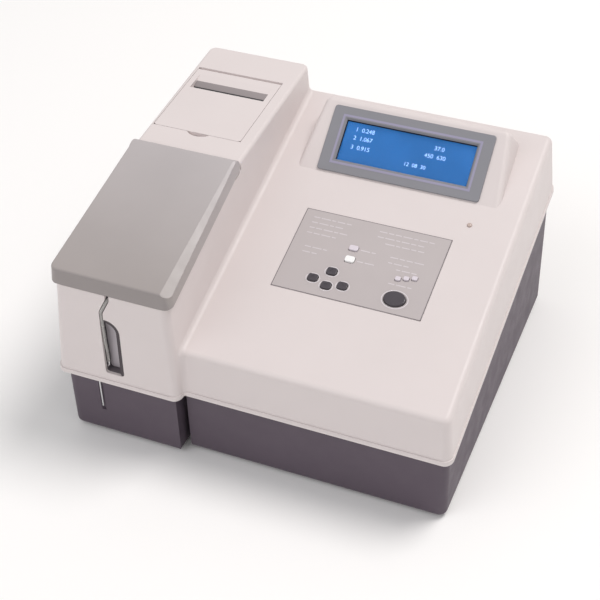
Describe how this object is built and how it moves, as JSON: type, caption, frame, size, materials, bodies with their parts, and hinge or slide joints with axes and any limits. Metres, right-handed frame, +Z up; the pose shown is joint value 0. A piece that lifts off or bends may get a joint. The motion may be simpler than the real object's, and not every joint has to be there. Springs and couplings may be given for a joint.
{
  "type": "immunoassay analyzer",
  "caption": "Benchtop immunoassay analyzer with a lidded sample bay, aspirating needle and trigger, tilted blue screen, keypad and built-in printer under a flap.",
  "frame": {"origin": "on the bench surface, at the middle of the footprint", "axes": "+X to the user's right, +Y to the rear, +Z up"},
  "size_m": [0.392, 0.3587, 0.2398],
  "materials": {
    "shell_white": "warm off-white moulded casing, fine texture",
    "lid_grey": "satin mid-grey paint on the lid",
    "base_dark": "dark plum-grey textured moulding",
    "rubber_black": "black rubber feet and platen",
    "steel": "bright steel pins, needle and screws",
    "bezel_grey": "satin grey screen frame",
    "window_clear": "clear window",
    "lcd_blue": "lit blue display",
    "panel_grey": "pale grey-lilac keypad panel",
    "key_dark": "dark grey keys",
    "key_pale": "pale keys",
    "key_white": "bright white key",
    "inner_grey": "light grey inner mouldings",
    "trigger_grey": "mid-grey trigger plate",
    "inner_black": "black moulded housings",
    "tube_clear": "translucent soft tube",
    "aluminium": "machined aluminium",
    "motor_steel": "plated motor cans",
    "board_green": "green circuit boards",
    "paper": "white thermal paper",
    "lamp_clear": "small clear lamp",
    "roller_white": "white acetal rollers and gears"
  },
  "bodies": {
    "casing": {"base_tray": "base_dark", "feet": "rubber_black", "cover_screws": "steel", "top_cover": "shell_white", "lid_hinge_pins": "steel", "bay_tray": "inner_grey", "recess_liner": "inner_grey", "trigger_pin": "steel", "trigger_spring": "steel", "trigger_switch": "inner_black", "sample_needle": "steel", "sample_tube": "tube_clear", "pump_housing": "inner_grey", "pump_tube": "tube_clear", "pump_motor": "motor_steel", "flow_cell": "inner_black", "optics_bench": "aluminium", "lamp_house": "aluminium", "filter_motor": "motor_steel", "light_detector": "inner_black", "screen_bezel": "bezel_grey", "screen_window": "window_clear", "lcd_module": "lcd_blue", "keypad_panel": "panel_grey", "keypad_board": "board_green", "indicator_lamp": "lamp_clear", "printer_tub": "inner_grey", "flap_hinge_pins": "steel", "printer_motor": "motor_steel", "print_head": "aluminium", "main_board": "board_green", "power_supply": "motor_steel", "fan_frame": "inner_black", "power_entry": "inner_black", "serial_port": "steel", "waste_fitting": "inner_black"},
    "lid_body": {"lid": "lid_grey"},
    "printer_flap_body": {"printer_flap": "shell_white"},
    "aspirate_trigger_body": {"aspirate_trigger": "trigger_grey"},
    "pump_rotor_body": {"pump_rotor": "aluminium"},
    "pump_roller_1_body": {"pump_roller_1": "roller_white"},
    "pump_roller_2_body": {"pump_roller_2": "roller_white"},
    "pump_roller_3_body": {"pump_roller_3": "roller_white"},
    "filter_wheel_body": {"filter_wheel": "inner_black"},
    "paper_roll_body": {"paper_roll": "paper"},
    "paper_spindle_body": {"paper_spindle": "inner_black"},
    "platen_roller_body": {"platen_roller": "rubber_black"},
    "motor_pinion_body": {"motor_pinion": "roller_white"},
    "fan_rotor_body": {"fan_rotor": "inner_black"},
    "power_rocker_body": {"power_rocker": "inner_black"},
    "key_left_body": {"key_left": "key_dark"},
    "key_up_body": {"key_up": "key_dark"},
    "key_down_body": {"key_down": "key_dark"},
    "key_right_body": {"key_right": "key_dark"},
    "start_key_body": {"start_key": "key_white"},
    "clear_key_body": {"clear_key": "key_pale"},
    "enter_key_body": {"enter_key": "key_dark"},
    "menu_key_body": {"menu_key": "key_pale"},
    "print_key_body": {"print_key": "key_pale"},
    "wash_key_body": {"wash_key": "key_pale"}
  },
  "joints": [
    {"name": "lid_hinge", "type": "hinge", "parent": "casing", "child": "lid_body", "pos_m": [-0.131, -0.0132, 0.22785], "axis": [-1, 0, 0], "range_deg": [0, 105]},
    {"name": "flap_hinge", "type": "hinge", "parent": "casing", "child": "printer_flap_body", "pos_m": [-0.134, 0.128, 0.23362], "axis": [-1, 0, 0], "range_deg": [0, 95]},
    {"name": "trigger_swing", "type": "hinge", "parent": "casing", "child": "aspirate_trigger_body", "pos_m": [-0.1345, -0.1632, 0.1475], "axis": [1, 0, 0], "range_deg": [0, 3.5], "stiffness_Nm_per_rad": 0.4, "springref_deg": -2.86, "deforming": ["trigger_spring"]},
    {"name": "pump_spin", "type": "hinge", "parent": "casing", "child": "pump_rotor_body", "pos_m": [-0.15, -0.112, 0.15], "axis": [0, 0, 1], "continuous": true},
    {"name": "filter_index", "type": "hinge", "parent": "casing", "child": "filter_wheel_body", "pos_m": [-0.129, -0.118, 0.066], "axis": [1, 0, 0], "continuous": true},
    {"name": "paper_unroll", "type": "hinge", "parent": "casing", "child": "paper_roll_body", "pos_m": [-0.1255, 0.062, 0.20401], "axis": [1, 0, 0], "continuous": true},
    {"name": "spindle_turn", "type": "hinge", "parent": "casing", "child": "paper_spindle_body", "pos_m": [-0.1255, 0.062, 0.20401], "axis": [1, 0, 0], "continuous": true},
    {"name": "platen_feed", "type": "hinge", "parent": "casing", "child": "platen_roller_body", "pos_m": [-0.1255, 0.104, 0.22151], "axis": [1, 0, 0], "continuous": true},
    {"name": "pinion_turn", "type": "hinge", "parent": "casing", "child": "motor_pinion_body", "pos_m": [-0.162, 0.104, 0.21246], "axis": [1, 0, 0], "continuous": true},
    {"name": "fan_spin", "type": "hinge", "parent": "casing", "child": "fan_rotor_body", "pos_m": [0.03, 0.165, 0.078], "axis": [0, 1, 0], "continuous": true},
    {"name": "power_rock", "type": "hinge", "parent": "casing", "child": "power_rocker_body", "pos_m": [0.1, 0.171, 0.045], "axis": [1, 0, 0], "range_deg": [0, 16]},
    {"name": "key_left_press", "type": "slide", "parent": "casing", "child": "key_left_body", "axis": [0, 0.2471, -0.969], "range_m": [0, 0.001], "stiffness_N_per_m": 500, "springref_m": -0.001},
    {"name": "key_up_press", "type": "slide", "parent": "casing", "child": "key_up_body", "axis": [0, 0.2471, -0.969], "range_m": [0, 0.001], "stiffness_N_per_m": 500, "springref_m": -0.001},
    {"name": "key_down_press", "type": "slide", "parent": "casing", "child": "key_down_body", "axis": [0, 0.2471, -0.969], "range_m": [0, 0.001], "stiffness_N_per_m": 500, "springref_m": -0.001},
    {"name": "key_right_press", "type": "slide", "parent": "casing", "child": "key_right_body", "axis": [0, 0.2471, -0.969], "range_m": [0, 0.001], "stiffness_N_per_m": 500, "springref_m": -0.001},
    {"name": "start_key_press", "type": "slide", "parent": "casing", "child": "start_key_body", "axis": [0, 0.2471, -0.969], "range_m": [0, 0.001], "stiffness_N_per_m": 500, "springref_m": -0.001},
    {"name": "clear_key_press", "type": "slide", "parent": "casing", "child": "clear_key_body", "axis": [0, 0.2471, -0.969], "range_m": [0, 0.001], "stiffness_N_per_m": 500, "springref_m": -0.001},
    {"name": "enter_key_press", "type": "slide", "parent": "casing", "child": "enter_key_body", "axis": [0, 0.2471, -0.969], "range_m": [0, 0.001], "stiffness_N_per_m": 500, "springref_m": -0.001},
    {"name": "menu_key_press", "type": "slide", "parent": "casing", "child": "menu_key_body", "axis": [0, 0.2471, -0.969], "range_m": [0, 0.001], "stiffness_N_per_m": 500, "springref_m": -0.001},
    {"name": "print_key_press", "type": "slide", "parent": "casing", "child": "print_key_body", "axis": [0, 0.2471, -0.969], "range_m": [0, 0.001], "stiffness_N_per_m": 500, "springref_m": -0.001},
    {"name": "wash_key_press", "type": "slide", "parent": "casing", "child": "wash_key_body", "axis": [0, 0.2471, -0.969], "range_m": [0, 0.001], "stiffness_N_per_m": 500, "springref_m": -0.001},
    {"name": "roller_1_spin", "type": "hinge", "parent": "pump_rotor_body", "child": "pump_roller_1_body", "pos_m": [-0.15, -0.1015, 0.15], "axis": [0, 0, 1], "continuous": true},
    {"name": "roller_2_spin", "type": "hinge", "parent": "pump_rotor_body", "child": "pump_roller_2_body", "pos_m": [-0.15909, -0.11725, 0.15], "axis": [0, 0, 1], "continuous": true},
    {"name": "roller_3_spin", "type": "hinge", "parent": "pump_rotor_body", "child": "pump_roller_3_body", "pos_m": [-0.14091, -0.11725, 0.15], "axis": [0, 0, 1], "continuous": true}
  ],
  "couplings": [
    {"joint": "pinion_turn", "follows": "platen_feed", "ratio": -2},
    {"joint": "roller_1_spin", "follows": "pump_spin", "ratio": -3.7},
    {"joint": "roller_2_spin", "follows": "pump_spin", "ratio": -3.7},
    {"joint": "roller_3_spin", "follows": "pump_spin", "ratio": -3.7}
  ]
}
